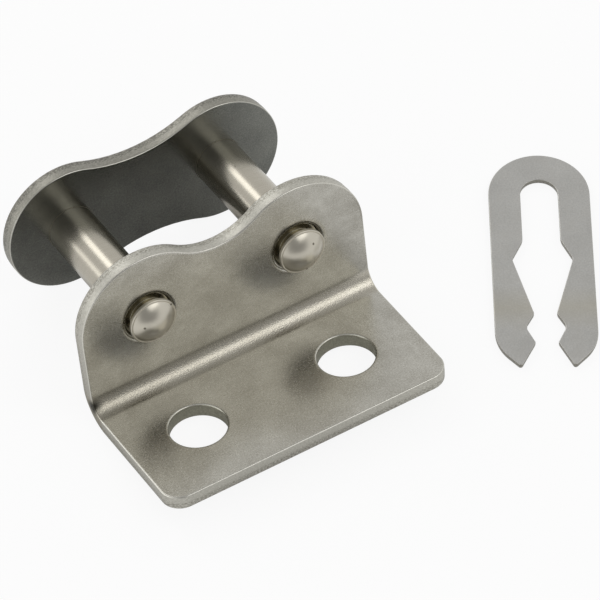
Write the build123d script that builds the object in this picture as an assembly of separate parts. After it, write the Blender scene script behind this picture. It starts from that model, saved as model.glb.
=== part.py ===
from build123d import *

import os
from math import acos, asin, atan2, cos, degrees, hypot, radians, sin, sqrt

# Connecting link of a roller chain, with a front plate bent into a two-hole flange.
# Two pins are pressed into a plain back plate. The front plate slips onto their grooved
# ends, and a flat spring clip locks it there. The clip is taken off and lies beside the link.
#
# The link can't stand on its flange, so it lies tipped back, on its bend and on the two
# lobes of the back plate. Millimetres, +Z up, the surface they lie on is Z = 0, and the
# origin is on it below the middle of the link and clip together.
#
# Each piece is first made in the link's own frame: X along the chain from the middle
# between the pins, Y = 0 at the upright plate's front face, Z = 0 at the flange's top.

# Chain
PITCH = 19.05
SHEET = 1.8
SEATED_GAP = 15.75

# Front plate
WIDTH = 35.9
PIN_HEIGHT = 9.85
FRONT_HOLLOW_RADIUS = 8.1
PLATE_FORWARD = 0.25
FLANGE_REACH = 17.6
BEND_RADIUS = 2.2
CORNER_RADIUS = 2.4
FLANGE_HOLE_DIAMETER = 6.6
FLANGE_HOLE_REACH = 8.75
FLANGE_HOLE_SPACING = PITCH

# Back plate
BACK_LOBE_RADIUS = 7.85
BACK_HOLLOW_RADIUS = 17.0

# Pins
PIN_DIAMETER = 5.72
RUNNING_CLEARANCE = 0.05
GROOVE_DIAMETER = 4.2
GROOVE_WIDTH = 1.1
HEAD_LAND = 0.45
HEAD_DOME = 1.15
HEAD_ROUNDING = 0.2
TAIL_LENGTH = 0.8
TAIL_CHAMFER = 0.4

# Spring clip. It is closed round one pin's groove, its closed seat, and its jaws hold the
# other's, the open seat. Lengths run along its middle line.
CLIP_SHEET = 0.8
CLIP_WIDTH = 11.6
CLIP_SEAT_CLEARANCE = 0.05
CLIP_SIDE_PLAY = 0.05
CLIP_SLOT_LENGTH = 6.7
CLIP_FLARE_LENGTH = 2.8
CLIP_WAIST_GAP = 7.0
CLIP_NECK_GAP = 2.54
CLIP_NECK_REACH = 2.25
CLIP_TAPER_REACH = 2.85
CLIP_TIP_REACH = 6.05
CLIP_TIP_GAP = 6.1
CLIP_LEG_ROUNDING = 5.0
CLIP_SLOT_ROUNDING = 1.0
CLIP_LIP_ROUNDING = 0.25

# Where the clip lies: its closed seat from the link's middle, and its turn
CLIP_AWAY = 41.4
CLIP_BACK = 1.3
CLIP_TURN = 59.9

# Edges, broken by tumbling
EDGE_BREAK = 0.25
PIN_HOLE_LEAD_IN = 0.5
CLIP_EDGE_BREAK = 0.12

# Smooth seams have sides that agree this closely, as the cosine of their angle
SMOOTH = 0.99
# How far a cutting shape runs past what it cuts
OVERRUN = 5.0

pin_radius = PIN_DIAMETER / 2
pin_hole_radius = pin_radius + RUNNING_CLEARANCE
flange_hole_radius = FLANGE_HOLE_DIAMETER / 2
front_lobe_radius = (WIDTH - PITCH) / 2
outer_bend_radius = BEND_RADIUS + SHEET
groove_radius = GROOVE_DIAMETER / 2
back_plate_front = SHEET + SEATED_GAP + PLATE_FORWARD
back_plate_back = back_plate_front + SHEET
pin_places = (-PITCH / 2, PITCH / 2)
clip_seat_radius = groove_radius + CLIP_SEAT_CLEARANCE
clip_tip = PITCH + CLIP_TIP_REACH


def sharp_edges(solid):
    """The edges where two faces meet at an angle, without the seams of smooth blends."""
    faces = solid.faces()
    found = []
    for edge in solid.edges():
        middle = edge @ 0.5
        normals = [face.normal_at(middle) for face in faces if edge in face.edges()]
        if len(normals) == 2 and normals[0].dot(normals[1]) < SMOOTH:
            found.append(edge)
    return found


def hole_rims(solid, radius):
    """The round edges of the holes of one radius."""
    rounds = solid.edges().filter_by(GeomType.CIRCLE)
    return ShapeList(edge for edge in rounds if abs(edge.radius - radius) < RUNNING_CLEARANCE / 2)


def across_the_plate(outline, front, back):
    """An outline drawn as seen from the front, as a prism from one depth to another."""
    return extrude(Plane.XZ.offset(-back) * outline, back - front)


def pin_holes(radius, front, back):
    """Round bars through both pin places, to cut the holes."""
    circles = [Pos(x, PIN_HEIGHT) * Circle(radius) for x in pin_places]
    return across_the_plate(Sketch() + circles, front, back)


def waist_arc(lobe_radius, hollow_radius, side):
    """The hollow arc between two lobes, tangent to both, above (1) or below (-1) the pins."""
    reach = PITCH / 2
    height = sqrt((lobe_radius + hollow_radius) ** 2 - reach**2)
    share = lobe_radius / (lobe_radius + hollow_radius)
    touch_x = reach * (1 - share)
    touch_z = PIN_HEIGHT + side * height * share
    middle_z = PIN_HEIGHT + side * (height - hollow_radius)
    return (-touch_x, touch_z), (0, middle_z), (touch_x, touch_z)


def front_outline():
    """Front plate as seen from the front: two lobes above, straight sides down to the flange."""
    half = WIDTH / 2
    left, middle, right = waist_arc(front_lobe_radius, FRONT_HOLLOW_RADIUS, 1)
    diagonal = front_lobe_radius / sqrt(2)
    outline = [
        Line((-half, -SHEET), (-half, PIN_HEIGHT)),
        ThreePointArc((-half, PIN_HEIGHT), (-PITCH / 2 - diagonal, PIN_HEIGHT + diagonal), left),
        ThreePointArc(left, middle, right),
        ThreePointArc(right, (PITCH / 2 + diagonal, PIN_HEIGHT + diagonal), (half, PIN_HEIGHT)),
        Line((half, PIN_HEIGHT), (half, -SHEET)),
        Line((half, -SHEET), (-half, -SHEET)),
    ]
    return make_face(outline)


def bent_strip():
    """The front plate's strip before its outline is cut: upright, bend and flange."""
    top = PIN_HEIGHT + front_lobe_radius + OVERRUN
    corners = [
        (-FLANGE_REACH, -SHEET),
        (SHEET, -SHEET),
        (SHEET, top),
        (0, top),
        (0, 0),
        (-FLANGE_REACH, 0),
    ]
    section = make_face(Polyline(corners, close=True))
    inner = section.vertices().sort_by_distance((0, 0))[0]
    section = fillet(inner, BEND_RADIUS)
    outer = section.vertices().sort_by_distance((SHEET, -SHEET))[0]
    section = fillet(outer, outer_bend_radius)
    return extrude(Plane.YZ * section, WIDTH / 2 + OVERRUN, both=True)


def attachment_plate():
    """Front plate with its flange, its two pin holes and its two bolt holes."""
    plate = bent_strip() & across_the_plate(front_outline(), -FLANGE_REACH - OVERRUN, SHEET + OVERRUN)
    flange_corners = plate.edges().filter_by(Axis.Z).group_by(Axis.Y)[0]
    plate = fillet(flange_corners, CORNER_RADIUS)
    plate = chamfer(sharp_edges(plate), EDGE_BREAK)
    plate -= pin_holes(pin_hole_radius, -OVERRUN, SHEET + OVERRUN)
    for side in (-1, 1):
        place = Pos(side * FLANGE_HOLE_SPACING / 2, -FLANGE_HOLE_REACH, -SHEET / 2)
        plate -= place * Cylinder(flange_hole_radius, SHEET + OVERRUN)
    plate = chamfer(hole_rims(plate, flange_hole_radius), EDGE_BREAK)
    plate = chamfer(hole_rims(plate, pin_hole_radius).group_by(Axis.Y)[0], PIN_HOLE_LEAD_IN)
    return chamfer(hole_rims(plate, pin_hole_radius).group_by(Axis.Y)[-1], EDGE_BREAK)


def back_plate():
    """Plain back plate, a waisted figure of eight that the pins are pressed into."""
    upper_left, upper_middle, upper_right = waist_arc(BACK_LOBE_RADIUS, BACK_HOLLOW_RADIUS, 1)
    lower_left, lower_middle, lower_right = waist_arc(BACK_LOBE_RADIUS, BACK_HOLLOW_RADIUS, -1)
    far = PITCH / 2 + BACK_LOBE_RADIUS
    outline = [
        ThreePointArc(upper_left, upper_middle, upper_right),
        ThreePointArc(upper_right, (far, PIN_HEIGHT), lower_right),
        ThreePointArc(lower_right, lower_middle, lower_left),
        ThreePointArc(lower_left, (-far, PIN_HEIGHT), upper_left),
    ]
    plate = across_the_plate(make_face(outline), back_plate_front, back_plate_back)
    plate = chamfer(sharp_edges(plate), EDGE_BREAK)
    return plate - pin_holes(pin_radius, back_plate_front - OVERRUN, back_plate_back + OVERRUN)


def pin(x):
    """Pin with a domed head, a groove for the clip and a chamfered tail in the back plate."""
    groove_front = -(CLIP_SHEET + CLIP_SIDE_PLAY) + PLATE_FORWARD
    land_front = groove_front - HEAD_LAND
    groove_back = groove_front + GROOVE_WIDTH
    tip = land_front - HEAD_DOME
    tail = back_plate_back + TAIL_LENGTH
    dome_radius = (pin_radius**2 + HEAD_DOME**2) / (2 * HEAD_DOME)
    dome_turn = degrees(asin(pin_radius / dome_radius))
    corners = [
        (pin_radius, land_front),
        (pin_radius, groove_front),
        (groove_radius, groove_front),
        (groove_radius, groove_back),
        (pin_radius, groove_back),
        (pin_radius, tail - TAIL_CHAMFER),
        (pin_radius - TAIL_CHAMFER, tail),
        (0, tail),
        (0, tip),
    ]
    dome = CenterArc((0, tip + dome_radius), dome_radius, -90, dome_turn)
    section = make_face([dome, Polyline(corners)])
    rim = section.vertices().sort_by_distance((pin_radius, land_front))[0]
    section = fillet(rim, HEAD_ROUNDING)
    return Pos(x, 0, PIN_HEIGHT) * revolve(section, Axis.Y)


def clip_opening():
    """The clip's slot, waist, neck, open seat and flared mouth, as one shape to cut out."""
    mouth = PITCH + CLIP_NECK_REACH
    slope = (CLIP_TIP_GAP - CLIP_NECK_GAP) / (CLIP_TIP_REACH - CLIP_NECK_REACH)
    upper = [
        (0, clip_seat_radius),
        (CLIP_SLOT_LENGTH, clip_seat_radius),
        (CLIP_SLOT_LENGTH + CLIP_FLARE_LENGTH, CLIP_WAIST_GAP / 2),
        (PITCH - CLIP_NECK_REACH, CLIP_NECK_GAP / 2),
        (mouth, CLIP_NECK_GAP / 2),
        (clip_tip + OVERRUN, (CLIP_TIP_GAP + slope * OVERRUN) / 2),
    ]
    lower = [(x, -y) for x, y in reversed(upper)]
    opening = make_face(Polyline(upper + lower, close=True))
    turns = [corner for corner in opening.vertices() if 0 < corner.X < clip_tip]
    opening = fillet(turns, CLIP_SLOT_ROUNDING)
    return opening + Circle(clip_seat_radius) + Pos(PITCH, 0) * Circle(clip_seat_radius)


def clip_blank():
    """The clip's outer shape: a round closed end, straight legs and tapered jaws."""
    half = CLIP_WIDTH / 2
    tip = CLIP_TIP_GAP / 2
    taper = PITCH + CLIP_TAPER_REACH
    legs = [(0, half), (taper, half), (clip_tip, tip), (clip_tip, -tip), (taper, -half), (0, -half)]
    blank = make_face(Polyline(legs, close=True))
    bends = [corner for corner in blank.vertices() if 0 < corner.X < clip_tip]
    return fillet(bends, CLIP_LEG_ROUNDING) + Circle(half)


def on_open_seat(corner):
    """Whether a corner of the clip's outline is on the circle of its open seat."""
    return abs(hypot(corner.X - PITCH, corner.Y) - clip_seat_radius) < CLIP_SEAT_CLEARANCE / 2


def spring_clip():
    """Flat spring clip, lying along X with the centre of its closed seat at the origin."""
    face = clip_blank() - clip_opening()
    tips = face.vertices().group_by(Axis.X)[-1]
    lips = [corner for corner in face.vertices() if on_open_seat(corner)]
    face = fillet(list(tips) + lips, CLIP_LIP_ROUNDING)
    return chamfer(sharp_edges(extrude(face, CLIP_SHEET)), CLIP_EDGE_BREAK)


def resting_tip():
    """How far the link tips back, in degrees, until the back plate's edge and the bend are level."""
    across = back_plate_back - EDGE_BREAK + BEND_RADIUS
    rise = PIN_HEIGHT - BACK_LOBE_RADIUS - BEND_RADIUS
    return degrees(acos(-outer_bend_radius / hypot(across, rise)) - atan2(across, rise))


def lie_down(link):
    """The link's pieces, turned as they rest and lifted until the bend touches the surface."""
    tip = resting_tip()
    bend_height = BEND_RADIUS * (sin(radians(tip)) + cos(radians(tip)))
    lying = Pos(0, 0, outer_bend_radius - bend_height) * Rot(X=-tip)
    return {name: lying * piece for name, piece in link.items()}


def all_pieces():
    """Every piece where it lies, by name."""
    link = {
        "attachment_plate": attachment_plate(),
        "back_plate": back_plate(),
        "left_pin": pin(pin_places[0]),
        "right_pin": pin(pin_places[1]),
    }
    pieces = lie_down(link)
    pieces["spring_clip"] = Pos(CLIP_AWAY, CLIP_BACK) * Rot(Z=CLIP_TURN + 180) * spring_clip()
    boxes = [piece.bounding_box() for piece in pieces.values()]
    middle_x = (min(box.min.X for box in boxes) + max(box.max.X for box in boxes)) / 2
    middle_y = (min(box.min.Y for box in boxes) + max(box.max.Y for box in boxes)) / 2
    return {name: Pos(-middle_x, -middle_y) * piece for name, piece in pieces.items()}


os.makedirs("parts", exist_ok=True)
for name, piece in all_pieces().items():
    export_step(piece, f"parts/{name}.step")
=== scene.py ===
# %% [markdown]
# # A connecting link for a roller chain
# The connecting link closes a roller chain. Two pins stand in a plain back plate, a front
# plate slips onto their grooved ends, and a flat spring clip locks it there. Here the front
# plate is bent into a flange with two bolt holes, and the clip lies beside the link.
#
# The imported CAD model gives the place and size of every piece. This lesson replaces each of
# its solids with a mesh that has the rounded rims, sheared edges and finish of the real one.

# %% Load the frame
from math import asin, atan2, cos, degrees, pi, radians, sin, sqrt

import bmesh
import bpy
from mathutils import Matrix, Vector


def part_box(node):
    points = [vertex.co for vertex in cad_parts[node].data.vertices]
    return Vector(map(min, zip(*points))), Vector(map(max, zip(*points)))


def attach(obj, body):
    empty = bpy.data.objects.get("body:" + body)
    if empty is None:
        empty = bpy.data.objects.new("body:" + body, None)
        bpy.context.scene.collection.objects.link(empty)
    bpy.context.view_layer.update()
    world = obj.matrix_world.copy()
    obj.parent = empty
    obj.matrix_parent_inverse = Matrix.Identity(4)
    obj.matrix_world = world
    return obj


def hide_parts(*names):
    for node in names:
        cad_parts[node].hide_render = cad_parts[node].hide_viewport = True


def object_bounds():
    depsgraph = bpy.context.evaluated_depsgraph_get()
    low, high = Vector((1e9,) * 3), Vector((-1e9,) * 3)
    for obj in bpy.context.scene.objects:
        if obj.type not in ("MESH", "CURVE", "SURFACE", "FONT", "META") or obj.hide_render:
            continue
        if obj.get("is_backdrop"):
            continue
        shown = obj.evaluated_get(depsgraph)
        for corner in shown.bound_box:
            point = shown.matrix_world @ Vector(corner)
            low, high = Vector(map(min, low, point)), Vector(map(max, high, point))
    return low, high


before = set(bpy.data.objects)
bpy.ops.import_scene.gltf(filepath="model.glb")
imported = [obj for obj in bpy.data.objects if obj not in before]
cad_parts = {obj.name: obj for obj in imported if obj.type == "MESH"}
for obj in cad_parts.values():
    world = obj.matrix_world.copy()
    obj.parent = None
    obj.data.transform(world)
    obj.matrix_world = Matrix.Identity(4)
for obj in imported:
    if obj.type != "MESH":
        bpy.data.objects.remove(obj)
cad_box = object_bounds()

MM = 0.001
for name in sorted(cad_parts):
    low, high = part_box(name)
    print(name, "is", [round((b - a) / MM, 2) for a, b in zip(low, high)], "mm")

# %% [markdown]
# ## The shared sizes
# These sizes, in millimetres, are shared by several pieces and are the same as in the CAD
# source. Pieces are made in the link's own frame: X along the chain from the middle between
# the pins, Y = 0 at the front plate's face, Z = 0 at the flange's top. The link lies tipped
# back on the table, so one matrix takes it there. Modelling each piece where it lies would
# hide its own simple sizes.

# %% Shared sizes
PITCH = 19.05
PIN = 2.86
PIN_HEIGHT = 9.85
SHEET = 1.8
PINS_X = (-PITCH / 2, PITCH / 2)
TIP_BACK = radians(10.164783)
LINK_PLACE = Vector((-14.625, -0.27024, 1.44630))
LINK_TO_TABLE = Matrix.Translation(LINK_PLACE) @ Matrix.Rotation(-TIP_BACK, 4, "X")
print("pins", PITCH, "mm apart, link tipped back", round(degrees(TIP_BACK), 2), "degrees")

# %% [markdown]
# ## Outlines with round corners
# Stamped sheet parts are drawn as lines and arcs. An outline could be a Bezier curve, but its
# round corners would only come near to true arcs. So an outline is a list of corners, each
# with its radius, and this function puts the arcs in. Corners with no radius stay as points,
# which lets a long arc be given as many of them.

# %% Outline helpers
ARC_STEP = radians(4)
FEWEST_STEPS = 3


def arc(middle, radius, start, end):
    """Points of an arc, with angles in degrees, as corners with no radius."""
    turns = max(2, round(abs(radians(end - start)) / ARC_STEP))
    angles = [radians(start + (end - start) * i / turns) for i in range(turns + 1)]
    return [(middle[0] + radius * cos(a), middle[1] + radius * sin(a), 0) for a in angles]


def rounded(corners, closed=True):
    """The outline through the corners, with an arc in place of each that has a radius."""
    points = []
    last = len(corners) - 1
    for i, (x, y, radius) in enumerate(corners):
        here = Vector((x, y))
        if not radius or (not closed and i in (0, last)):
            points.append(here)
            continue
        before = Vector(corners[i - 1][:2]) - here
        after = Vector(corners[(i + 1) % len(corners)][:2]) - here
        before.normalize()
        after.normalize()
        half = before.angle(after) / 2
        middle = here + (before + after).normalized() * (radius / sin(half))
        first = here + before * (radius / (sin(half) / cos(half)))
        spoke = first - middle
        turn = pi - 2 * half
        side = 1 if before.x * after.y - before.y * after.x < 0 else -1
        steps = max(FEWEST_STEPS, round(turn / ARC_STEP))
        for k in range(steps + 1):
            points.append(middle + Matrix.Rotation(side * turn * k / steps, 2) @ spoke)
    return points


def circle(x, y, radius):
    """A round hole, as an outline that runs clockwise."""
    return [Vector(p[:2]) for p in arc((x, y), radius, 360, 0)[:-1]]


print("a round hole has", len(circle(0, 0, PIN)), "points")

# %% [markdown]
# ## A sheared edge
# A plate is punched out of sheet. The punch first draws the rim down into a small roll, then
# cuts a smooth band, and then the rest breaks off rough and leans in a little. Tumbling
# rounds what is left of the far rim. A bevel modifier would round both rims alike, so the
# edge is built as a row of rings instead. Each ring is the outline, moved into the sheet by
# one amount at one depth. The first and last rings lie in the flat faces and keep their
# shading flat right up to the rim.

# %% Edge profile
NEAR_STEPS = 5
FAR_STEPS = 3
# How far down between the rims the smooth band reaches.
SMOOTH_SHARE = 0.55
# Where the rings in the flat faces lie, as multiples of the rim's roll.
NEAR_FLAT_RING = 1.8
FAR_FLAT_RING = 2


def quarter(steps):
    """Angles that divide a right angle into equal steps."""
    return [pi / 2 * i / steps for i in range(steps + 1)]


def sheared_profile(sheet, roll, far_roll, lean):
    """Inset and depth of each ring of a sheared edge, from the near face to the far one."""
    first = [(roll * NEAR_FLAT_RING, 0)]
    rolled = [(roll * (1 - sin(a)), roll * (1 - cos(a))) for a in quarter(NEAR_STEPS)]
    band = [(0, roll + (sheet - roll - far_roll) * SMOOTH_SHARE)]
    rubbed_rim_and_highlight = [
        (lean + far_roll * (1 - cos(a)), sheet - far_roll * (1 - sin(a)))
        for a in quarter(FAR_STEPS)
    ]
    last = [(lean + far_roll * FAR_FLAT_RING, sheet)]
    return first + rolled + band + rubbed_rim_and_highlight + last


EDGE_ROLL = 0.16
FAR_ROLL = 0.16
FRACTURE_LEAN = 0.04
plate_edge = sheared_profile(SHEET, EDGE_ROLL, FAR_ROLL, FRACTURE_LEAN)
print("edge of a plate:", [(round(inset, 2), round(depth, 2)) for inset, depth in plate_edge])

# %% [markdown]
# ## Punching the sheet
# A plate could be an extruded outline with its holes cut by a Boolean, but that leaves ragged
# faces round every hole, and they show in a glossy finish. Here each outline and each hole
# brings its own edge, and the two flat faces are filled in between. A small washer shows that
# it works.


# %% Punched sheet
def ring(bm, outline, inset, depth):
    """One ring of vertices, the outline moved into the sheet."""
    count = len(outline)
    verts = []
    for i, here in enumerate(outline):
        along = (outline[(i + 1) % count] - here).normalized()
        along += (here - outline[i - 1]).normalized()
        along.normalize()
        outward = Vector((along.y, -along.x))
        place = here - outward * inset
        verts.append(bm.verts.new((place.x, place.y, -depth)))
    return verts


def punched_sheet(loops):
    """A flat plate from its outline and holes, each with its own edge profile."""
    bm = bmesh.new()
    near, far = [], []
    for outline, profile in loops:
        rings = [ring(bm, outline, inset, depth) for inset, depth in profile]
        count = len(outline)
        for upper, lower in zip(rings, rings[1:]):
            for i in range(count):
                k = (i + 1) % count
                bm.faces.new((upper[i], lower[i], lower[k], upper[k]))
        for kept, verts in ((near, rings[0]), (far, rings[-1])):
            kept += [bm.edges.get((verts[i], verts[(i + 1) % count])) for i in range(count)]
    for edges in (near, far):
        bmesh.ops.triangle_fill(bm, use_beauty=True, edges=edges)
    bmesh.ops.recalc_face_normals(bm, faces=bm.faces)
    return bm


outside, hole = circle(0, 0, 2 * PIN)[::-1], circle(0, 0, PIN)
washer = punched_sheet([(outside, plate_edge), (hole, plate_edge)])
print("a washer cut like this has", len(washer.faces), "faces")
washer.free()

# %% [markdown]
# ## From a mesh to a piece
# Patterns of a finish lie on the sheet before it is bent, so every vertex keeps its place on
# the flat blank, in millimetres, as an attribute named blank. A second one, sheared, is 1 on
# the cut edge and 0 on the sheet's faces. A UV map could hold the place too, but it has to be
# unwrapped and has seams. Materials read both attributes, so that their patterns have real
# sizes and move with the piece.

# %% Piece maker
# A vertex whose normal points up or down by more than this lies in a flat face.
FLAT_NORMAL = 0.999


def mark(bm):
    """Keep each vertex's place on the flat blank and how far it is on the sheared edge."""
    blank = bm.verts.layers.float_vector.new("blank")
    sheared = bm.verts.layers.float.new("sheared")
    bm.normal_update()
    for vert in bm.verts:
        facing = abs(vert.normal.z)
        vert[blank] = vert.co
        vert[sheared] = 1 - facing if facing < FLAT_NORMAL else 0


def piece(name, bm, body, to_table):
    """Turn a mesh made in millimetres into the piece that stands for the CAD node."""
    bm.transform(Matrix.Scale(MM, 4) @ to_table)
    bmesh.ops.recalc_face_normals(bm, faces=bm.faces)
    mesh = bpy.data.meshes.new(name)
    bm.to_mesh(mesh)
    bm.free()
    mesh.shade_smooth()
    made = bpy.data.objects.new(name + "_finished", mesh)
    bpy.context.scene.collection.objects.link(made)
    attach(made, body)
    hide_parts(name)
    low = [min(v.co[k] for v in mesh.vertices) for k in range(3)]
    high = [max(v.co[k] for v in mesh.vertices) for k in range(3)]
    corners = zip(low + high, [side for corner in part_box(name) for side in corner])
    off = max(abs(here - cad) for here, cad in corners)
    print(name, len(mesh.polygons), "faces, box within", round(off / MM, 3), "mm of the CAD")
    return made


print(len(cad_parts), "solids get a piece in their place")

# %% [markdown]
# ## The front plate
# The real plate is punched flat with all four holes and then folded in a press. It could be
# modelled bent from the start, but then flange, bend and upright would each need edges that
# meet. Making it the real way keeps the sheet one thickness round the bend. The blank is the
# flange and the upright laid out flat, and the middle of the sheet keeps its length in the
# bend. The mouths of the pin holes have a wide roll, where the plate slips over the pins.

# %% Front plate's sizes
WIDTH = 35.9
LOBE = (WIDTH - PITCH) / 2
FRONT_HOLLOW = 8.1
FLANGE_REACH = 17.6
BEND_INSIDE = 2.2
CORNER = 2.4
PIN_HOLE = 2.91
BOLT_HOLE = 3.3
BOLT_HOLE_REACH = 8.75
FLAT = FLANGE_REACH - BEND_INSIDE
BOLT_ALONG = FLANGE_REACH - BOLT_HOLE_REACH
MIDDLE_RADIUS = BEND_INSIDE + SHEET / 2
BEND_LENGTH = MIDDLE_RADIUS * pi / 2
PIN_ALONG = FLAT + BEND_LENGTH + PIN_HEIGHT - BEND_INSIDE
print("blank is", round(PIN_ALONG + LOBE, 2), "mm long, its bend", round(BEND_LENGTH, 2), "mm")

# %% Front plate's blank
MOUTH_ROLL = 0.5
BOLT_ROLL = 0.22


def waist(lobe, hollow):
    """Middle of the hollow above the pins, and the angle of its ends seen from there."""
    height = sqrt((lobe + hollow) ** 2 - (PITCH / 2) ** 2)
    return height, degrees(atan2(height, PITCH / 2))


height, lean_angle = waist(LOBE, FRONT_HOLLOW)
left_lobe, right_lobe = [(x, PIN_ALONG) for x in PINS_X]
front_outline = rounded(
    [(-WIDTH / 2, 0, CORNER), (WIDTH / 2, 0, CORNER)]
    + arc(right_lobe, LOBE, 0, 180 - lean_angle)
    + arc((0, PIN_ALONG + height), FRONT_HOLLOW, -lean_angle, lean_angle - 180)[1:-1]
    + arc(left_lobe, LOBE, lean_angle, 180)
)
pin_mouth = sheared_profile(SHEET, MOUTH_ROLL, FAR_ROLL, 0)
bolt_rim = sheared_profile(SHEET, BOLT_ROLL, FAR_ROLL, FRACTURE_LEAN)
loops = [(front_outline, plate_edge)]
loops += [(circle(x, PIN_ALONG, PIN_HOLE), pin_mouth) for x in PINS_X]
loops += [(circle(x, BOLT_ALONG, BOLT_HOLE), bolt_rim) for x in PINS_X]
blank = punched_sheet(loops)
print("flat blank with", len(loops) - 1, "holes has", len(blank.verts), "points")

# %% [markdown]
# ## Folding the blank
# The press folds the blank over a bar. A Simple Deform modifier bends a whole mesh, and its
# flat parts would need masks to stay flat. A function that says where each point goes is
# shorter: the flange and the upright only move, and what is between wraps round the bend's
# axis. The blank first gets cuts across it there, because a face without them can't bend.

# %% Fold it
BEND_CUTS = 36


def folded(place):
    """Where a point of the flat blank goes: along X, along the strip, and down into it."""
    x, along, depth = place.x, place.y, -place.z
    if along <= FLAT:
        return Vector((x, along - FLANGE_REACH, -depth))
    if along >= FLAT + BEND_LENGTH:
        return Vector((x, depth, BEND_INSIDE + along - FLAT - BEND_LENGTH))
    turn = (along - FLAT) / MIDDLE_RADIUS
    radius = BEND_INSIDE + depth
    return Vector((x, radius * sin(turn) - BEND_INSIDE, BEND_INSIDE - radius * cos(turn)))


for i in range(BEND_CUTS + 1):
    bmesh.ops.bisect_plane(
        blank,
        geom=blank.verts[:] + blank.edges[:] + blank.faces[:],
        plane_co=(0, FLAT + BEND_LENGTH * i / BEND_CUTS, 0),
        plane_no=(0, 1, 0),
    )
mark(blank)
for vert in blank.verts:
    vert.co = folded(vert.co)
front_plate = piece("attachment_plate", blank, "bent_plate", LINK_TO_TABLE)

# %% [markdown]
# ## The back plate
# It is the plain outer plate of the chain, a waisted figure of eight punched from the same
# sheet. It could be the front plate's upper half and its mirror image, but its lobes are
# smaller and its waist is flatter, so it has its own outline. Both pins fill its holes,
# because they are pressed in, so the holes' rims stay sharp.

# %% Back plate
BACK_LOBE = 7.85
BACK_HOLLOW = 17.0
BACK_FRONT = 17.8
PRESSED_ROLL = 0.05
height, lean_angle = waist(BACK_LOBE, BACK_HOLLOW)
back_outline = rounded(
    arc((PITCH / 2, 0), BACK_LOBE, lean_angle - 180, 180 - lean_angle)
    + arc((0, height), BACK_HOLLOW, -lean_angle, lean_angle - 180)[1:-1]
    + arc((-PITCH / 2, 0), BACK_LOBE, lean_angle, 360 - lean_angle)
    + arc((0, -height), BACK_HOLLOW, 180 - lean_angle, lean_angle)[1:-1]
)
tight = sheared_profile(SHEET, PRESSED_ROLL, PRESSED_ROLL, 0)
loops = [(back_outline, plate_edge)] + [(circle(x, 0, PIN), tight) for x in PINS_X]
plate = punched_sheet(loops)
mark(plate)
back_place = Matrix.Translation(Vector((0, BACK_FRONT, PIN_HEIGHT)))
stand_up = back_place @ Matrix.Rotation(radians(90), 4, "X")
back_plate = piece("back_plate", plate, "pin_link", LINK_TO_TABLE @ stand_up)

# %% [markdown]
# ## The pins
# Each pin is turned, hardened and ground, and its head is domed. It could be a cylinder with
# its groove and chamfers modelled in, but it is round all over, so it is its half section
# spun about its axis. The section is an open outline with small radii where the tool and the
# tumbling barrel leave them. Negative places are in front of the plate's face.

# %% Pin's section
GROOVE_FRONT = -0.6
GROOVE_BACK = 0.5
GROOVE = 2.1
LAND_FRONT = -1.05
DOME = 1.15
DOME_BASE = 2.62
# The dome's foot lies this far behind the land's front, and the rim round it as far before.
FOOT_STEP = 0.02
TAIL = 20.4
TAIL_CHAMFER = 0.4
dome_radius = (DOME_BASE**2 + DOME**2) / (2 * DOME)
dome_turn = degrees(asin(DOME_BASE / dome_radius))
tip = LAND_FRONT - DOME
dome = arc((tip + dome_radius, 0), dome_radius, 180, 180 - dome_turn)
section = rounded(
    dome[:-1]
    + [
        (LAND_FRONT + FOOT_STEP, DOME_BASE, 0.05),
        (LAND_FRONT - FOOT_STEP, PIN, 0.12),
        (GROOVE_FRONT, PIN, 0.06),
        (GROOVE_FRONT, GROOVE, 0.1),
        (GROOVE_BACK, GROOVE, 0.1),
        (GROOVE_BACK, PIN, 0.1),
        (TAIL - TAIL_CHAMFER, PIN, 0.15),
        (TAIL, PIN - TAIL_CHAMFER, 0.12),
        (TAIL, 0, 0),
    ],
    closed=False,
)
print("pin is", round(TAIL - tip, 2), "mm long, its dome has a radius of", round(dome_radius, 2))

# %% Pins
PIN_SIDES = 96
ON_AXIS = 1e-6
PIN_TURNS = (0.0, 2.0)


def pin_mesh():
    """A pin along Y with its head to the front, spun from the section."""
    bm = bmesh.new()
    rows = []
    for place in section:
        if place.y < ON_AXIS:
            rows.append([bm.verts.new((0, place.x, 0))])
            continue
        turns = [2 * pi * i / PIN_SIDES for i in range(PIN_SIDES)]
        spun = [(place.y * sin(a), place.x, place.y * cos(a)) for a in turns]
        rows.append([bm.verts.new(point) for point in spun])
    for first, second in zip(rows, rows[1:]):
        for i in range(PIN_SIDES):
            k = (i + 1) % PIN_SIDES
            corners = [first[i % len(first)], first[k % len(first)]]
            corners += [second[k % len(second)], second[i % len(second)]]
            bm.faces.new(dict.fromkeys(corners))
    bmesh.ops.recalc_face_normals(bm, faces=bm.faces)
    return bm


# The second pin is turned on its axis, so that the two don't show the same pits.
pins = []
for name, x, turn in zip(("left_pin", "right_pin"), PINS_X, PIN_TURNS):
    turned = pin_mesh()
    mark(turned)
    place = Matrix.Translation(Vector((x, 0, PIN_HEIGHT))) @ Matrix.Rotation(turn, 4, "Y")
    pins.append(piece(name, turned, "pin_link", LINK_TO_TABLE @ place))

# %% [markdown]
# ## The spring clip
# The clip is stamped from thin spring steel. Its closed end goes round one pin's groove, and
# its jaws snap onto the other's. The CAD sketch could be followed corner by corner, but the
# clip is its own mirror image. So half of its outline is drawn, from the closed seat along
# the opening and back along the outer leg, and the other half is mirrored. X runs along the
# clip from the middle of its closed seat, and each corner is its place and its radius.

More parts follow.
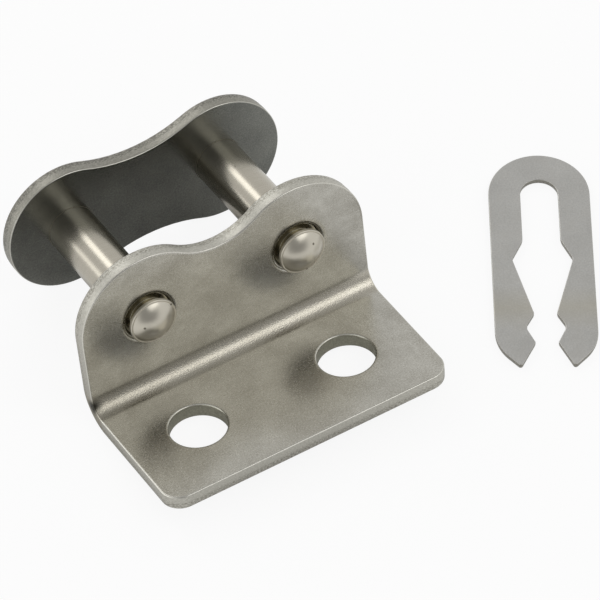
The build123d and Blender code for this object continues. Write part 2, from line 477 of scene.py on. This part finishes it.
# %% Spring clip
CLIP_SHEET = 0.8
CLIP_HALF = 5.8
SEAT = 2.15
NECK_HALF = 1.27
NECK_ALONG = 17.25
LIP_ALONG = 21.35
TIP_ALONG = 24.75
TIP_HALF = 3.0
slot_side = [(6.7, SEAT, 1.6), (9.4, 3.45, 0.9), (NECK_ALONG, NECK_HALF, 0.5)]
open_seat = [(18.85, SEAT, 0.45), (19.5, SEAT, 0.45), (LIP_ALONG, NECK_HALF, 0.3)]
inner_half = arc((0, 0), SEAT, 180, 90) + slot_side + open_seat
outer_half = [(TIP_ALONG, TIP_HALF, 0.35), (PITCH + 2.75, CLIP_HALF, 5.0)]
outer_half += arc((0, 0), CLIP_HALF, 90, 180)
mirrored_half = [(x, -y, radius) for x, y, radius in inner_half + outer_half]
clip_outline = rounded(outer_half + mirrored_half[::-1][1:] + inner_half[1:])
print("clip's outline has", len(clip_outline), "points")

# %% Lay the clip down
CLIP_ROLL = 0.08
CLIP_FAR_ROLL = 0.3
CLIP_LEAN = 0.02
CLIP_PLACE = Vector((26.775, 1.030, 0.0))
CLIP_TURN = radians(59.9 + 180)
clip_edge = sheared_profile(CLIP_SHEET, CLIP_ROLL, CLIP_FAR_ROLL, CLIP_LEAN)
clip = punched_sheet([(clip_outline, clip_edge)])
mark(clip)
clip_to_table = Matrix.Translation(CLIP_PLACE) @ Matrix.Rotation(CLIP_TURN, 4, "Z")
rise = Matrix.Translation(Vector((0, 0, CLIP_SHEET)))
spring_clip = piece("spring_clip", clip, "pin_link", clip_to_table @ rise)

# %% [markdown]
# ## Colours and nodes
# Colours are written as sRGB hex values, as a colour picker shows them. Blender's shaders
# want linear light, so one function converts them. Another adds one node with its settings
# and what goes into its sockets, so that every material below reads as a list of nodes. The
# Mix node has sockets for numbers and for colours under the same names, so they get names of
# their own here.

# %% Node helpers
SHARE, NUMBER_A, NUMBER_B, COLOUR_A, COLOUR_B = 0, 2, 3, 6, 7
MIXED_NUMBER, MIXED_COLOUR = 0, 2


def colour(hex_value):
    """A hex sRGB colour as linear red, green, blue and alpha."""
    parts = [int(hex_value[i : i + 2], 16) / 255 for i in (1, 3, 5)]
    linear = [c / 12.92 if c <= 0.04045 else ((c + 0.055) / 1.055) ** 2.4 for c in parts]
    return (*linear, 1.0)


def add(tree, kind, sockets=None, **settings):
    """Add one node, set it up, and link or set the sockets given by name or number."""
    made = tree.nodes.new("ShaderNode" + kind)
    for key, value in settings.items():
        setattr(made, key, value)
    for key, value in (sockets or {}).items():
        if isinstance(value, bpy.types.NodeSocket):
            tree.links.new(value, made.inputs[key])
        else:
            made.inputs[key].default_value = value
    return made


def new_material(name):
    """An empty node material."""
    made = bpy.data.materials.new(name)
    made.use_nodes = True
    made.node_tree.nodes.clear()
    return made, made.node_tree


print("mid grey #808080 is", round(colour("#808080")[0], 3), "in linear light")

# %% [markdown]
# ## Shares that fade
# Grime, burnishing and tint have no sharp border. They could be painted as vertex colours,
# which would tie them to one mesh. Instead each is a share that depends on a place or a
# measure of the real part, so it stays right when a size changes. Two kinds do for all: one
# goes by the distance from a place, and one by how far a value is from a middle value.


# %% Fading helpers
def by_distance(tree, place, middle, start, end, inside, outside):
    """A share that goes from inside to outside between two distances from a place."""
    away = add(tree, "VectorMath", {0: place, 1: middle}, operation="DISTANCE").outputs["Value"]
    span = {"Value": away, "From Min": start, "From Max": end}
    return add(tree, "MapRange", {**span, "To Min": inside, "To Max": outside}).outputs["Result"]


def by_offset(tree, value, middle, start, end, inside):
    """A share that goes from inside to 0 as a value leaves a middle value."""
    offset = add(tree, "Math", {0: value, 1: middle}, operation="SUBTRACT").outputs[0]
    away = add(tree, "Math", {0: offset}, operation="ABSOLUTE").outputs[0]
    span = {"Value": away, "From Min": start, "From Max": end}
    return add(tree, "MapRange", {**span, "To Min": inside, "To Max": 0.0}).outputs["Result"]


print("pin holes lie", round(PIN_ALONG, 2), "mm and bolt holes", BOLT_ALONG, "mm up the blank")

# %% [markdown]
# ## The skin of bare steel
# Rolled sheet that has been tumbled with stones has a satin skin. Countless tiny dents make
# its highlights wide and a little grainy, wide clouds of tone come from the rolling mill,
# and small spots and smears stay where oil has dried. The dents are about 0.05 mm across,
# under half a pixel here, so they are drawn at 0.2 mm. An image of real steel would have
# seams and one fixed sharpness, and noise has neither. All three sheet pieces share this
# skin, so one function lays it and gives back what each finish builds on.

# %% Bare steel skin
GRAINS_PER_MM = 5.0
CLOUDS_PER_MM = 0.22
SMEARS_PER_MM = 0.45
# The values of the noise between which the tone turns from dark to light, or to a smear.
TONE_SPAN = (0.4, 0.64)
SMEAR_SPAN = (0.5, 0.8)
SMEAR_STRENGTH = 0.6


def bare_skin(tree, dark, light, smear):
    """Nodes of a tumbled skin: its tone, its grain, its edge mask and its place."""
    place = add(tree, "Attribute", attribute_name="blank").outputs["Vector"]
    sheared = add(tree, "Attribute", attribute_name="sheared").outputs["Fac"]
    grain = add(
        tree,
        "TexNoise",
        {"Vector": place, "Scale": GRAINS_PER_MM, "Detail": 2.0, "Roughness": 0.6},
    ).outputs["Fac"]
    clouds = add(
        tree,
        "TexNoise",
        {"Vector": place, "Scale": CLOUDS_PER_MM, "Detail": 6.0, "Roughness": 0.62},
    ).outputs["Fac"]
    mixed = add(
        tree, "Mix", {SHARE: 0.5, NUMBER_A: clouds, NUMBER_B: grain}, data_type="FLOAT"
    ).outputs[MIXED_NUMBER]
    spread = add(
        tree, "MapRange", {"Value": mixed, "From Min": TONE_SPAN[0], "From Max": TONE_SPAN[1]}
    ).outputs["Result"]
    tone = add(
        tree,
        "Mix",
        {SHARE: spread, COLOUR_A: colour(dark), COLOUR_B: colour(light)},
        data_type="RGBA",
    ).outputs[MIXED_COLOUR]
    smears = add(
        tree, "TexNoise", {"Vector": place, "Scale": SMEARS_PER_MM, "Detail": 3.0}
    ).outputs["Fac"]
    smeared = add(
        tree,
        "MapRange",
        {
            "Value": smears,
            "From Min": SMEAR_SPAN[0],
            "From Max": SMEAR_SPAN[1],
            "To Max": SMEAR_STRENGTH,
        },
    ).outputs["Result"]
    skin = add(
        tree,
        "Mix",
        {SHARE: smeared, COLOUR_A: tone, COLOUR_B: colour(smear)},
        data_type="RGBA",
    ).outputs[MIXED_COLOUR]
    return skin, grain, sheared, place


for pattern, per_mm in (("grain", GRAINS_PER_MM), ("clouds", CLOUDS_PER_MM)):
    print(pattern, "about", round(1 / per_mm, 1), "mm wide")

# %% [markdown]
# ## The look of a sheared edge
# The punch leaves the half of the edge near it smooth and bright, and the other half torn
# and matt, with short dark pits along the line where they meet. Tumbling rubs the near rim
# bright, and its colour is lightened further there as a painted highlight, a thin light line
# round the whole plate. A second material on the edge's faces would end in a hard line, so
# one material changes with the sheared attribute.

# %% Sheared edge look
TEAR_START = 0.45
TEAR_END = 0.6
LEAST_TORN = 0.45
# With these two the pits are about 0.25 mm long and 0.1 mm high.
TEAR_STRETCH = (2.2, 2.2, 6.0)
TEARS_PER_MM = 1.8
PIT_SPAN = (0.42, 0.58)
CUT_SPAN = (0.3, 0.8)
RIM_MASK = 0.35
RIM_SPAN = (0.1, 0.34)
RIM_WEAR_AND_HIGHLIGHT = 0.85


def edge_look(tree, under, sheared, place, rim, band, torn, thickness):
    """A cut edge laid over the skin: its colour, its height and where it is."""
    depth = add(tree, "SeparateXYZ", {0: place}).outputs["Z"]
    span = {"From Min": -thickness * TEAR_START, "From Max": -thickness * TEAR_END}
    tearing = add(
        tree, "MapRange", {"Value": depth, **span, "To Min": LEAST_TORN}
    ).outputs["Result"]
    stretched = add(tree, "Mapping", {"Vector": place, "Scale": TEAR_STRETCH}).outputs["Vector"]
    tears = add(
        tree, "TexNoise", {"Vector": stretched, "Scale": TEARS_PER_MM, "Detail": 4.0}
    ).outputs["Fac"]
    pits = add(
        tree, "MapRange", {"Value": tears, "From Min": PIT_SPAN[0], "From Max": PIT_SPAN[1]}
    ).outputs["Result"]
    torn_tone = add(
        tree,
        "Mix",
        {SHARE: pits, COLOUR_A: colour(torn), COLOUR_B: colour(band)},
        data_type="RGBA",
    ).outputs[MIXED_COLOUR]
    edge_tone = add(
        tree,
        "Mix",
        {SHARE: tearing, COLOUR_A: colour(band), COLOUR_B: torn_tone},
        data_type="RGBA",
    ).outputs[MIXED_COLOUR]
    cut = add(
        tree, "MapRange", {"Value": sheared, "From Min": CUT_SPAN[0], "From Max": CUT_SPAN[1]}
    ).outputs["Result"]
    laid = add(
        tree, "Mix", {SHARE: cut, COLOUR_A: under, COLOUR_B: edge_tone}, data_type="RGBA"
    ).outputs[MIXED_COLOUR]
    # Rubbed-bright rim: real tumbling wear, with its colour also lightened as a painted
    # highlight.
    on_rim_wear_and_highlight = by_offset(tree, sheared, RIM_MASK, *RIM_SPAN, RIM_WEAR_AND_HIGHLIGHT)
    rubbed_rim_and_highlight = add(
        tree, "Mix", {SHARE: on_rim_wear_and_highlight, COLOUR_A: laid, COLOUR_B: colour(rim)}, data_type="RGBA"
    ).outputs[MIXED_COLOUR]
    torn_height = add(tree, "Math", {0: cut, 1: tears}, operation="MULTIPLY").outputs[0]
    return rubbed_rim_and_highlight, torn_height, cut


print("a plate's edge is torn from", round(SHEET * TEAR_START, 2), "mm down")

# %% [markdown]
# ## Tumbled steel
# The front plate is plain carbon steel, punched, folded and tumbled bare. Its satin skin is
# faintly warm and shows wide soft highlights. The walls of the bolt holes are torn, and their
# tone is a painted reflection of the shaded paper under the flange. The mouths of the pin holes
# are darkened as painted shade round the pins. One flat grey with a roughness would show none
# of this, so the skin comes first and each of these marks is laid over it.

# %% Skin and edges
tumbled, tree = new_material("tumbled_steel")
skin, grain, sheared, place = bare_skin(tree, "#A19E95", "#C4C2BA", "#9C9990")
edged, torn_height, on_cut = edge_look(
    tree, skin, sheared, place, "#D6D4CB", "#C0BEB5", "#8D8A80", SHEET
)
print(tumbled.name, "has", len(tree.nodes), "nodes so far")

# %% Holes
# Millimetres past the hole's radius where each mark starts to fade, and over how many.
WALL_START = 0.03
WALL_FADE = 0.06
MOUTH_SHADE_START = -0.02
MOUTH_SHADE_FADE = 0.2
blank_place = add(tree, "SeparateXYZ", {0: place}).outputs
sideways = add(tree, "Math", {0: blank_place["X"]}, operation="ABSOLUTE").outputs[0]
either_side = add(tree, "CombineXYZ", {0: sideways, 1: blank_place["Y"]}).outputs[0]
reach = BOLT_HOLE + WALL_START
bolt_hole = (PITCH / 2, BOLT_ALONG, 0)
hole_wall = by_distance(tree, either_side, bolt_hole, reach, reach + WALL_FADE, 1.0, 0.0)
# Painted reflection: the bolt holes' walls take a yellower tone with a darker low end, for the
# shaded paper under the flange that they reflect; the tear is real.
wall_reflection_tone = add(
    tree,
    "Mix",
    {SHARE: grain, COLOUR_A: colour("#7D7B69"), COLOUR_B: colour("#CFCDBE")},
    data_type="RGBA",
).outputs[MIXED_COLOUR]
with_wall_reflection = add(
    tree, "Mix", {SHARE: hole_wall, COLOUR_A: edged, COLOUR_B: wall_reflection_tone}, data_type="RGBA"
).outputs[MIXED_COLOUR]
reach = PIN_HOLE + MOUTH_SHADE_START
pin_hole = (PITCH / 2, PIN_ALONG, 0)
# Painted shade: the mouths of the pin holes are darkened round the pins.
mouth_shade = by_distance(tree, either_side, pin_hole, reach, reach + MOUTH_SHADE_FADE, 1.0, 0.0)
with_mouth_shade = add(
    tree, "Mix", {SHARE: mouth_shade, COLOUR_A: with_wall_reflection, COLOUR_B: colour("#8F8A79")}, data_type="RGBA"
).outputs[MIXED_COLOUR]
# This print gives where the painted shade round a pin hole ends.
print("grime fades out", round(reach + MOUTH_SHADE_FADE - PIN_HOLE, 2), "mm past a pin hole's wall")

# %% [markdown]
# ## The bend's finish
# The press left the inside of the bend burnished and a little rippled, so it catches the
# light in sparks. Its colour is also a painted highlight, lighter toward the bend's right end,
# and a small dark spot of painted shade sits at its left end. The marks could be painted on
# the folded mesh, but a place on the blank is easier to give, and it stays right when the
# bend changes.

# %% Bend's finish
POCKET = (-WIDTH / 2, FLAT + BEND_LENGTH * 0.62, -0.3)
POCKET_REACH = (0.45, 1.3)
POCKET_SHADE_SHARE = 0.95
BURNISH_AND_HIGHLIGHT_SHARE = 0.65
# Shares of the bend's length, from its middle, where the burnishing and its painted
# highlight start and end their fade.
PRESSED_SPAN = (0.3, 0.5)
# Painted shade: a small dark spot at the bend's left end.
pocket_shade = by_distance(tree, place, POCKET, *POCKET_REACH, POCKET_SHADE_SHARE, 0.0)
bend_middle = FLAT + BEND_LENGTH / 2
fade_start, fade_end = [BEND_LENGTH * share for share in PRESSED_SPAN]
pressed = by_offset(tree, blank_place["Y"], bend_middle, fade_start, fade_end, 1.0)
toward_right = add(
    tree,
    "MapRange",
    {"Value": blank_place["X"], "From Min": -WIDTH / 2, "From Max": WIDTH / 2},
).outputs["Result"]
# Painted highlight: the bend's colour lightens from its left end to its right end; its gloss is
# the roughness further down.
burnish_and_highlight_tone = add(
    tree,
    "Mix",
    {SHARE: toward_right, COLOUR_A: colour("#9F9989"), COLOUR_B: colour("#CBC5B6")},
    data_type="RGBA",
).outputs[MIXED_COLOUR]
burnish_and_highlight_share = add(
    tree, "MapRange", {"Value": pressed, "To Max": BURNISH_AND_HIGHLIGHT_SHARE}
).outputs["Result"]
bare = add(
    tree,
    "Mix",
    {SHARE: burnish_and_highlight_share, COLOUR_A: with_mouth_shade, COLOUR_B: burnish_and_highlight_tone},
    data_type="RGBA",
).outputs[MIXED_COLOUR]
tumbled_tone = add(
    tree, "Mix", {SHARE: pocket_shade, COLOUR_A: bare, COLOUR_B: colour("#33322B")}, data_type="RGBA"
).outputs[MIXED_COLOUR]
print("burnished for", round(2 * fade_start, 2), "mm round the bend")

# %% [markdown]
# ## The front plate's gloss
# Tumbled dents scatter a reflection by a fixed spread, which is the roughness, and the larger
# ones also tilt the surface, which is the bump. The burnished bend is glossier but rippled,
# and the torn edge is matt. Real displacement would need millions of faces for marks this
# small, so a bump is enough.

# %% Front plate's gloss
NOISE_SPAN = (0.3, 0.7)
SATIN = (0.21, 0.29)
BEND_GLOSS = 0.2
CUT_MATT = 0.46
RIPPLE = (0.1, 1.9)


def steel_surface(tree, tone, roughness, bump):
    """Bare metal with the default index of refraction, as the material's surface."""
    sockets = {"Base Color": tone, "Metallic": 1.0, "Roughness": roughness, "Normal": bump}
    steel = add(tree, "BsdfPrincipled", sockets)
    add(tree, "OutputMaterial", {"Surface": steel.outputs["BSDF"]})


ripple_depth = add(
    tree, "MapRange", {"Value": pressed, "To Min": RIPPLE[0], "To Max": RIPPLE[1]}
).outputs["Result"]
height_sum = add(tree, "Math", {0: grain, 1: torn_height}, operation="ADD").outputs[0]
relief = add(tree, "Math", {0: height_sum, 1: ripple_depth}, operation="MULTIPLY").outputs[0]
bump = add(tree, "Bump", {"Height": relief, "Strength": 0.6, "Distance": 0.03 * MM})
satin = add(
    tree,
    "MapRange",
    {
        "Value": grain,
        "From Min": NOISE_SPAN[0],
        "From Max": NOISE_SPAN[1],
        "To Min": SATIN[0],
        "To Max": SATIN[1],
    },
).outputs["Result"]
face_gloss = add(
    tree, "Mix", {SHARE: pressed, NUMBER_A: satin, NUMBER_B: BEND_GLOSS}, data_type="FLOAT"
).outputs[MIXED_NUMBER]
roughness = add(
    tree, "Mix", {SHARE: on_cut, NUMBER_A: face_gloss, NUMBER_B: CUT_MATT}, data_type="FLOAT"
).outputs[MIXED_NUMBER]
steel_surface(tree, tumbled_tone, roughness, bump.outputs["Normal"])
front_plate.data.materials.append(tumbled)
print(tumbled.name, "has", len(tree.nodes), "nodes")

# %% [markdown]
# ## Dark steel
# The back plate keeps the darker skin that it has from hardening in oil. Only its rims and
# cut edges were rubbed bright in the tumbling barrel, and the rims are lightened further as a
# painted highlight. The oxide could be a thin film over a bright metal, but it is even and
# thin, so a darker metal with the same skin looks alike.

# %% Dark steel
FACE_GLOSS = 0.24
dark, tree = new_material("dark_steel")
skin, grain, sheared, place = bare_skin(tree, "#6A6B67", "#858680", "#696964")
dark_tone, torn_height, on_cut = edge_look(
    tree, skin, sheared, place, "#C4C2B9", "#9C9A91", "#66645D", SHEET
)
relief = add(tree, "Math", {0: grain, 1: torn_height}, operation="ADD").outputs[0]
bump = add(tree, "Bump", {"Height": relief, "Strength": 0.15, "Distance": 0.03 * MM})
roughness = add(
    tree, "MapRange", {"Value": on_cut, "To Min": FACE_GLOSS, "To Max": CUT_MATT}
).outputs["Result"]
steel_surface(tree, dark_tone, roughness, bump.outputs["Normal"])
back_plate.data.materials.append(dark)
print(dark.name, "has", len(tree.nodes), "nodes")

# %% [markdown]
# ## Polished steel
# The pins are case-hardened and ground, which leaves fine rings round the shaft. The rings
# are a few micrometres wide and too fine to show, so they are drawn 0.1 mm wide. An
# anisotropic gloss would only stretch the highlights, and noise that is squeezed along the
# pin shows rings as well. The domes are polished by tumbling and have a few tiny pits. The
# groove and the stretch inside the front plate's hole are darkened as painted shade.

# %% Rings and pits
RING_SQUEEZE = (0.6, 9.0, 0.6)
PITS_PER_MM = 1.3
# In cells of the pattern, so a pit is about 0.2 mm across.
PIT_REACH = (0.14, 0.22)
UNPITTED_SHARE = 0.93
polished, tree = new_material("polished_steel")
place = add(tree, "Attribute", attribute_name="blank").outputs["Vector"]
squeezed = add(tree, "Mapping", {"Vector": place, "Scale": RING_SQUEEZE}).outputs["Vector"]
rings = add(tree, "TexNoise", {"Vector": squeezed, "Scale": 1.0, "Detail": 3.0}).outputs["Fac"]
cells = add(tree, "TexVoronoi", {"Vector": place, "Scale": PITS_PER_MM}).outputs
near_middle = add(
    tree,
    "MapRange",
    {
        "Value": cells["Distance"],
        "From Min": PIT_REACH[0],
        "From Max": PIT_REACH[1],
        "To Min": 1.0,
        "To Max": 0.0,
    },
).outputs["Result"]
drawn = add(tree, "SeparateColor", {0: cells["Color"]}).outputs[0]
chosen = add(tree, "Math", {0: drawn, 1: UNPITTED_SHARE}, operation="GREATER_THAN").outputs[0]
pitted = add(tree, "Math", {0: near_middle, 1: chosen}, operation="MULTIPLY").outputs[0]
print("one cell in", round(1 / (1 - UNPITTED_SHARE)), "has a pit")

# %% Polished steel
# Where the painted shade in the groove and inside the plate's hole starts and ends.
HOLE_SHADE_START = (GROOVE_FRONT - 0.02, GROOVE_FRONT + 0.06)
HOLE_SHADE_END = (1.6, 2.2)
SHAFT_GLOSS = 0.24
HEAD_GLOSS = 0.3
along_pin = add(tree, "SeparateXYZ", {0: place}).outputs["Y"]
into_groove = add(
    tree,
    "MapRange",
    {"Value": along_pin, "From Min": HOLE_SHADE_START[0], "From Max": HOLE_SHADE_START[1]},
).outputs["Result"]
before_end = add(
    tree,
    "MapRange",
    {
        "Value": along_pin,
        "From Min": HOLE_SHADE_END[0],
        "From Max": HOLE_SHADE_END[1],
        "To Min": 1.0,
        "To Max": 0.0,
    },
).outputs["Result"]
shade_in_hole = add(tree, "Math", {0: into_groove, 1: before_end}, operation="MULTIPLY").outputs[0]
on_head = add(tree, "Math", {0: along_pin, 1: GROOVE_FRONT}, operation="LESS_THAN").outputs[0]
pin_tone = add(
    tree,
    "Mix",
    {SHARE: rings, COLOUR_A: colour("#AAA598"), COLOUR_B: colour("#B8B3A7")},
    data_type="RGBA",
).outputs[MIXED_COLOUR]
# The last colour is painted shade in the groove and inside the plate's hole.
for share, over in ((on_head, "#C4BFB2"), (pitted, "#6B665B"), (shade_in_hole, "#9A9481")):
    pin_tone = add(
        tree,
        "Mix",
        {SHARE: share, COLOUR_A: pin_tone, COLOUR_B: colour(over)},
        data_type="RGBA",
    ).outputs[MIXED_COLOUR]
bump = add(tree, "Bump", {"Height": rings, "Strength": 0.12, "Distance": 0.01 * MM})
roughness = add(
    tree, "MapRange", {"Value": on_head, "To Min": SHAFT_GLOSS, "To Max": HEAD_GLOSS}
).outputs["Result"]
steel_surface(tree, pin_tone, roughness, bump.outputs["Normal"])
for turned in pins:
    turned.data.materials.append(polished)
print(polished.name, "has", len(tree.nodes), "nodes")

# %% [markdown]
# ## Spring steel
# The clip is hardened and tempered strip. It is cleaner and cooler in tone than the plates,
# with a faint straw tint across the legs, where tempering heat coloured it. The tint could be
# a gradient over the whole clip, but heat reached only one stretch of it. The strip is thin,
# so its edge needs the tones of a cut but no relief.

# %% Spring steel
TINT_MIDDLE = 16.4
TINT_REACH = 3.2
TINT_SHARE = 0.36
STRIP_GLOSS = 0.36
spring, tree = new_material("spring_steel")
skin, grain, sheared, place = bare_skin(tree, "#B2B1AD", "#C3C2BE", "#AFADA7")
along_clip = add(tree, "SeparateXYZ", {0: place}).outputs["X"]
tinted = by_offset(tree, along_clip, TINT_MIDDLE, 0.0, TINT_REACH, TINT_SHARE)
straw = add(
    tree, "Mix", {SHARE: tinted, COLOUR_A: skin, COLOUR_B: colour("#B3AC97")}, data_type="RGBA"
).outputs[MIXED_COLOUR]
clip_tone = edge_look(
    tree, straw, sheared, place, "#BFBDB6", "#8B8880", "#5F5D55", CLIP_SHEET
)[0]
bump = add(tree, "Bump", {"Height": grain, "Strength": 0.4, "Distance": 0.02 * MM})
steel_surface(tree, clip_tone, STRIP_GLOSS, bump.outputs["Normal"])
spring_clip.data.materials.append(spring)
print(spring.name, "has", len(tree.nodes), "nodes")

# %% [markdown]
# ## A white that only some rays see
# The link lies on a plain white table under soft light. Table and background have to look
# white without more light on the steel. Stronger lamps would do it and burn out every pale
# surface. So part of their white is shown only to camera rays and to the mirror rays of
# metal, and matt surfaces don't see it.


# %% Shown white
def shown_white(tree, in_mirrors, to_camera):
    """How much plain white is shown, to mirror rays and to the camera's own."""
    ray = add(tree, "LightPath").outputs
    straight = {0: ray["Is Glossy Ray"], 1: ray["Is Transmission Ray"]}
    mirror = add(tree, "Math", straight, operation="MAXIMUM").outputs[0]
    reflected = add(tree, "Math", {0: mirror, 1: in_mirrors}, operation="MULTIPLY").outputs[0]
    camera_ray = {0: ray["Is Camera Ray"], 1: to_camera}
    direct = add(tree, "Math", camera_ray, operation="MULTIPLY").outputs[0]
    return add(tree, "Math", {0: reflected, 1: direct}, operation="MAXIMUM").outputs[0]


WHITE = colour("#FFFFFF")
print("plain white is", WHITE[:3], "in linear light")

# %% [markdown]
# ## The floor
# It is a sheet of matt white paper, much larger than the view. A curved backdrop could hide
# its far edge, but the camera looks down and never sees it. The paper keeps the link's soft
# shadow. Close round the link its glow fades from the steel's reflections, because the link
# shades the paper there.

# %% Floor
FLOOR_HALF = 2.0
SHADED_SPOT = Vector((-0.0146, -0.002, 0))
SHADED_REACH = (0.019, 0.027)
MIRROR_GLOW = 0.66
CAMERA_GLOW = 0.9
floor_mesh = bpy.data.meshes.new("floor")
corners = [(x * FLOOR_HALF, y * FLOOR_HALF, 0) for x, y in ((-1, -1), (1, -1), (1, 1), (-1, 1))]
floor_mesh.from_pydata(corners, [], [(0, 1, 2, 3)])
floor = bpy.data.objects.new("floor", floor_mesh)
bpy.context.scene.collection.objects.link(floor)
floor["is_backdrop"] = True
paper, tree = new_material("white_paper")
ground = add(tree, "NewGeometry").outputs["Position"]
clear = by_distance(tree, ground, SHADED_SPOT, *SHADED_REACH, 0.0, MIRROR_GLOW)
matt = add(tree, "BsdfDiffuse", {"Color": colour("#F4F4F4")}).outputs["BSDF"]
glow = add(tree, "Emission", {"Color": WHITE, "Strength": 1.0}).outputs["Emission"]
blend = add(tree, "MixShader", {0: shown_white(tree, clear, CAMERA_GLOW), 1: matt, 2: glow})
add(tree, "OutputMaterial", {"Surface": blend.outputs["Shader"]})
floor_mesh.materials.append(paper)
print("floor is", 2 * FLOOR_HALF, "m wide")

# %% [markdown]
# ## The room
# A photographer's room is white and reflects soft light from all sides, less from overhead,
# and the dark camera stand makes a soft shadow in it. Metal shows the room as much as it
# shows itself. A picture of a studio could light it, but a few gradients of the world's
# strength do, and they stay soft.

# %% Room
WALL_TO_CEILING = (0.6, 0.95)
WALL_STRENGTH = 0.88
CEILING_STRENGTH = 0.5
STAND_DIRECTION = Vector((-0.15, -0.85, 0.5))
STAND_EDGE = (0.7, 0.9)
STAND_SHARE = 0.34
ROOM_IN_MIRRORS = 0.06
world = bpy.data.worlds.new("studio")
bpy.context.scene.world = world
world.use_nodes = True
tree = world.node_tree
tree.nodes.clear()
direction = add(tree, "TexCoord").outputs["Generated"]
toward_ceiling = add(tree, "SeparateXYZ", {0: direction}).outputs["Z"]
toward_stand = add(
    tree, "VectorMath", {0: direction, 1: STAND_DIRECTION}, operation="DOT_PRODUCT"
).outputs["Value"]
parts = []
for measure, (start, end), low_end, high_end in (
    (toward_ceiling, WALL_TO_CEILING, WALL_STRENGTH, CEILING_STRENGTH),
    (toward_stand, STAND_EDGE, 1.0, STAND_SHARE),
):
    span = {"Value": measure, "From Min": start, "From Max": end}
    part = add(tree, "MapRange", {**span, "To Min": low_end, "To Max": high_end})
    parts.append(part.outputs["Result"])
room = add(tree, "Math", {0: parts[0], 1: parts[1]}, operation="MULTIPLY").outputs[0]
strength = add(
    tree,
    "Mix",
    {SHARE: shown_white(tree, ROOM_IN_MIRRORS, 1.0), NUMBER_A: room, NUMBER_B: 1.0},
    data_type="FLOAT",
).outputs[MIXED_NUMBER]
sky = add(tree, "Background", {"Color": WHITE, "Strength": strength}).outputs["Background"]
add(tree, "OutputWorld", {"Surface": sky})
print("room's light goes from", WALL_STRENGTH, "at the walls to", CEILING_STRENGTH, "overhead")

# %% [markdown]
# ## The lamps
# Three soft boxes light the link: a large one in front and two long strips behind and to the
# left, which draw the light bands on rims and pins. Small lamps would give hard specks on
# polished steel. Each row gives a lamp's place and size in metres and its watts.

# %% Lamps
LAMPS = (
    ("front_softbox", (0.32, -0.50, 0.81), (0.75, 0.46), 1.42),
    ("back_strip", (-0.115, 0.78, 0.615), (0.3, 0.7), 1.15),
    ("left_strip", (-0.93, 0.32, 0.2), (1.1, 0.3), 1.4),
)
for name, place, size, watts in LAMPS:
    lamp = bpy.data.lights.new(name, "AREA")
    lamp.shape = "RECTANGLE"
    lamp.size, lamp.size_y = size
    lamp.energy = watts
    softbox = bpy.data.objects.new(name, lamp)
    softbox.location = place
    softbox.rotation_euler = (-Vector(place)).to_track_quat("-Z", "Y").to_euler()
    bpy.context.scene.collection.objects.link(softbox)
    print(name, "is", round(Vector(place).length, 2), "m away")

# %% [markdown]
# ## The camera
# It looks down on the link from the front and a little from its left, from far away through
# a long lens, so that lines hardly run together. It could be aimed by hand in the viewport.
# Two angles, a target and a distance say the same and are easier to change, and a small roll
# levels the view.

# %% Camera
CAMERA_AZIMUTH = radians(-31.2112)
CAMERA_ELEVATION = radians(51.8128)
CAMERA_ROLL = radians(0.2374)
CAMERA_TARGET = Vector((-4.7007, 1.6947, 1.0940)) * MM
CAMERA_DISTANCE = 601.349 * MM
CAMERA_LENS = 320.869
SENSOR_WIDTH = 36.0
back = Vector(
    (
        sin(CAMERA_AZIMUTH) * cos(CAMERA_ELEVATION),
        -cos(CAMERA_AZIMUTH) * cos(CAMERA_ELEVATION),
        sin(CAMERA_ELEVATION),
    )
)
level = Vector((cos(CAMERA_AZIMUTH), sin(CAMERA_AZIMUTH), 0))
right = cos(CAMERA_ROLL) * level + sin(CAMERA_ROLL) * back.cross(level)
up = back.cross(right)
camera_data = bpy.data.cameras.new("camera")
camera_data.lens = CAMERA_LENS
camera_data.sensor_width = SENSOR_WIDTH
camera_data.clip_start = 0.05
camera_data.clip_end = 10.0
camera = bpy.data.objects.new("camera", camera_data)
facing = Matrix((right, up, back)).transposed().to_4x4()
camera.matrix_world = Matrix.Translation(CAMERA_TARGET + back * CAMERA_DISTANCE) @ facing
bpy.context.scene.collection.objects.link(camera)
bpy.context.scene.camera = camera
bpy.context.scene.view_settings.view_transform = "Standard"
print("camera stands", round(CAMERA_DISTANCE, 3), "m from its target")

visual_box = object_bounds()
for end, cad, visual in zip(("low", "high"), cad_box, visual_box):
    print(end, "corner is off by", [round((v - c) / MM, 3) for c, v in zip(cad, visual)], "mm")
